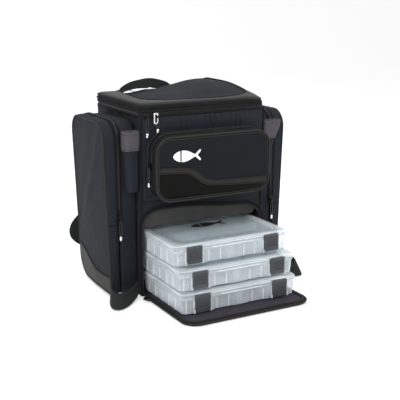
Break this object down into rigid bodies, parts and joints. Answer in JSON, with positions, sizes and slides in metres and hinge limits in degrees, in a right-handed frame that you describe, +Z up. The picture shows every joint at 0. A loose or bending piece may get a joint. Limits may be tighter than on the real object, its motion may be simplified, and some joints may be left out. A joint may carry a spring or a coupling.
{
  "type": "tackle backpack",
  "caption": "Hard-sided fishing tackle backpack with a zip lid, front and side pockets, rod holders and a fold-down door for slide-out clear tackle boxes.",
  "frame": {"origin": "middle of the base's underside, where the pack stands on the floor", "axes": "+Z up, -Y the front with the tackle box door, +X to the right as a viewer faces the front"},
  "size_m": [0.449, 0.496, 0.441],
  "materials": {
    "black_board": "stiff black board covered in cloth",
    "navy_fabric": "heavy dark navy woven polyester",
    "air_mesh": "black spacer mesh over foam",
    "webbing": "dark ribbed webbing",
    "buckle_plastic": "moulded black plastic",
    "binding": "black bound edge and piping",
    "coated_cloth": "grey rubber-coated cloth",
    "rubber_patch": "near-black textured rubberised patch",
    "black_fabric": "black padded cloth",
    "lining_cloth": "purple-grey lining cloth",
    "clear_plastic": "clear moulded polypropylene",
    "latch_plastic": "dark grey moulded plastic",
    "zip_metal": "black coated zip slider",
    "cord_pull": "black cord with a bright metal end"
  },
  "bodies": {
    "pack": {"base_board": "black_board", "divider_shelf": "black_board", "rear_wall": "navy_fabric", "left_side_wall": "navy_fabric", "right_side_wall": "navy_fabric", "front_panel": "navy_fabric", "opening_frame": "navy_fabric", "front_pocket_gusset": "navy_fabric", "left_pocket_body": "navy_fabric", "right_pocket_body": "navy_fabric", "left_rod_sleeve": "navy_fabric", "right_rod_sleeve": "navy_fabric", "back_padding": "air_mesh", "shoulder_straps": "air_mesh", "strap_webbing": "webbing", "stirrup_loops": "webbing", "ladder_locks": "buckle_plastic", "scuff_panels": "coated_cloth"},
    "handle": {"grab_handle": "webbing"},
    "lid": {"lid_panel": "navy_fabric", "lid_border_band": "coated_cloth", "lid_skirt": "binding"},
    "door": {"door_panel": "black_fabric", "door_lining": "lining_cloth", "door_binding": "binding"},
    "front_flap": {"front_pocket_flap": "navy_fabric", "front_pocket_patch": "rubber_patch", "front_pocket_piping": "binding"},
    "left_flap": {"left_pocket_flap": "navy_fabric", "left_flap_piping": "binding"},
    "right_flap": {"right_pocket_flap": "navy_fabric", "right_flap_piping": "binding"},
    "bottom_box": {"bottom_box_tray": "clear_plastic", "bottom_box_lid": "clear_plastic", "bottom_box_dividers": "clear_plastic"},
    "middle_box": {"middle_box_tray": "clear_plastic", "middle_box_lid": "clear_plastic", "middle_box_dividers": "clear_plastic"},
    "top_box": {"top_box_tray": "clear_plastic", "top_box_lid": "clear_plastic", "top_box_dividers": "clear_plastic"},
    "bottom_box_left_latch": {"bottom_box_left_latch": "latch_plastic"},
    "bottom_box_right_latch": {"bottom_box_right_latch": "latch_plastic"},
    "middle_box_left_latch": {"middle_box_left_latch": "latch_plastic"},
    "middle_box_right_latch": {"middle_box_right_latch": "latch_plastic"},
    "top_box_left_latch": {"top_box_left_latch": "latch_plastic"},
    "top_box_right_latch": {"top_box_right_latch": "latch_plastic"},
    "lid_front_zip_slider": {"lid_front_zip_slider": "zip_metal"},
    "lid_corner_zip_slider": {"lid_corner_zip_slider": "zip_metal"},
    "front_pocket_zip_slider": {"front_pocket_zip_slider": "zip_metal"},
    "left_pocket_zip_slider": {"left_pocket_zip_slider": "zip_metal"},
    "right_pocket_zip_slider": {"right_pocket_zip_slider": "zip_metal"},
    "door_zip_slider": {"door_zip_slider": "zip_metal"},
    "lid_front_zip_pull": {"lid_front_zip_pull": "cord_pull"},
    "lid_corner_zip_pull": {"lid_corner_zip_pull": "cord_pull"},
    "front_pocket_zip_pull": {"front_pocket_zip_pull": "cord_pull"},
    "left_pocket_zip_pull": {"left_pocket_zip_pull": "cord_pull"},
    "right_pocket_zip_pull": {"right_pocket_zip_pull": "cord_pull"}
  },
  "joints": [
    {"name": "lid_open", "type": "hinge", "parent": "pack", "child": "lid", "pos_m": [0, 0.124, 0.396], "axis": [1, 0, 0], "range_deg": [-105, 0]},
    {"name": "handle_fold", "type": "hinge", "parent": "pack", "child": "handle", "pos_m": [0, 0.1275, 0.395], "axis": [1, 0, 0], "range_deg": [-105, 0]},
    {"name": "door_fold", "type": "hinge", "parent": "pack", "child": "door", "pos_m": [0, -0.119, 0.005], "axis": [-1, 0, 0], "range_deg": [0, 90], "deforming": ["door_panel", "door_lining", "door_binding"]},
    {"name": "bottom_box_slide", "type": "slide", "parent": "pack", "child": "bottom_box", "axis": [0, 1, 0], "range_m": [0, 0.175]},
    {"name": "middle_box_slide", "type": "slide", "parent": "pack", "child": "middle_box", "axis": [0, 1, 0], "range_m": [0, 0.165]},
    {"name": "top_box_slide", "type": "slide", "parent": "pack", "child": "top_box", "axis": [0, 1, 0], "range_m": [0, 0.14]},
    {"name": "front_pocket_open", "type": "hinge", "parent": "pack", "child": "front_flap", "pos_m": [0, -0.1415, 0.212], "axis": [-1, 0, 0], "range_deg": [-80, 0]},
    {"name": "left_pocket_open", "type": "hinge", "parent": "pack", "child": "left_flap", "pos_m": [-0.223, 0, 0.166], "axis": [0, 1, 0], "range_deg": [-50, 0]},
    {"name": "right_pocket_open", "type": "hinge", "parent": "pack", "child": "right_flap", "pos_m": [0.223, 0, 0.166], "axis": [0, -1, 0], "range_deg": [-50, 0]},
    {"name": "bottom_box_left_latch_open", "type": "hinge", "parent": "bottom_box", "child": "bottom_box_left_latch", "pos_m": [-0.093, -0.2816, 0.0148], "axis": [-1, 0, 0], "range_deg": [-80, 0]},
    {"name": "bottom_box_right_latch_open", "type": "hinge", "parent": "bottom_box", "child": "bottom_box_right_latch", "pos_m": [0.093, -0.2816, 0.0148], "axis": [-1, 0, 0], "range_deg": [-80, 0]},
    {"name": "middle_box_left_latch_open", "type": "hinge", "parent": "middle_box", "child": "middle_box_left_latch", "pos_m": [-0.093, -0.2716, 0.0602], "axis": [-1, 0, 0], "range_deg": [-80, 0]},
    {"name": "middle_box_right_latch_open", "type": "hinge", "parent": "middle_box", "child": "middle_box_right_latch", "pos_m": [0.093, -0.2716, 0.0602], "axis": [-1, 0, 0], "range_deg": [-80, 0]},
    {"name": "top_box_left_latch_open", "type": "hinge", "parent": "top_box", "child": "top_box_left_latch", "pos_m": [-0.093, -0.2466, 0.1056], "axis": [-1, 0, 0], "range_deg": [-80, 0]},
    {"name": "top_box_right_latch_open", "type": "hinge", "parent": "top_box", "child": "top_box_right_latch", "pos_m": [0.093, -0.2466, 0.1056], "axis": [-1, 0, 0], "range_deg": [-80, 0]},
    {"name": "lid_front_zip_run", "type": "slide", "parent": "pack", "child": "lid_front_zip_slider", "axis": [-1, 0, 0], "range_m": [-0.235, 0]},
    {"name": "lid_corner_zip_run", "type": "slide", "parent": "pack", "child": "lid_corner_zip_slider", "axis": [1, 0, 0], "range_m": [0, 0.012]},
    {"name": "front_pocket_zip_run", "type": "slide", "parent": "pack", "child": "front_pocket_zip_slider", "axis": [0, 0, 1], "range_m": [-0.034, 0.022]},
    {"name": "left_pocket_zip_run", "type": "slide", "parent": "pack", "child": "left_pocket_zip_slider", "axis": [0, 0, -1], "range_m": [-0.147, 0]},
    {"name": "right_pocket_zip_run", "type": "slide", "parent": "pack", "child": "right_pocket_zip_slider", "axis": [0, 0, -1], "range_m": [-0.147, 0]},
    {"name": "door_zip_run", "type": "slide", "parent": "door", "child": "door_zip_slider", "axis": [0, -1, 0], "range_m": [0, 0.13]},
    {"name": "lid_front_pull_swing", "type": "hinge", "parent": "lid_front_zip_slider", "child": "lid_front_zip_pull", "pos_m": [-0.115, -0.1294, 0.39], "axis": [1, 0, 0], "range_deg": [-80, 0]},
    {"name": "lid_corner_pull_swing", "type": "hinge", "parent": "lid_corner_zip_slider", "child": "lid_corner_zip_pull", "pos_m": [-0.139, -0.1294, 0.39], "axis": [1, 0, 0], "range_deg": [-80, 0]},
    {"name": "front_pocket_pull_swing", "type": "hinge", "parent": "front_pocket_zip_slider", "child": "front_pocket_zip_pull", "pos_m": [-0.1424, -0.1415, 0.29], "axis": [0, -1, 0], "range_deg": [-80, 0]},
    {"name": "left_pocket_pull_swing", "type": "hinge", "parent": "left_pocket_zip_slider", "child": "left_pocket_zip_pull", "pos_m": [-0.1905, -0.1014, 0.173], "axis": [1, 0, 0], "range_deg": [-80, 0]},
    {"name": "right_pocket_pull_swing", "type": "hinge", "parent": "right_pocket_zip_slider", "child": "right_pocket_zip_pull", "pos_m": [0.1905, -0.1014, 0.173], "axis": [1, 0, 0], "range_deg": [-80, 0]}
  ],
  "couplings": [
    {"joint": "handle_fold", "follows": "lid_open", "ratio": 1},
    {"joint": "bottom_box_slide", "follows": "door_fold", "m_per_rad": 0.11141},
    {"joint": "middle_box_slide", "follows": "door_fold", "m_per_rad": 0.10504},
    {"joint": "top_box_slide", "follows": "door_fold", "m_per_rad": 0.089126}
  ]
}
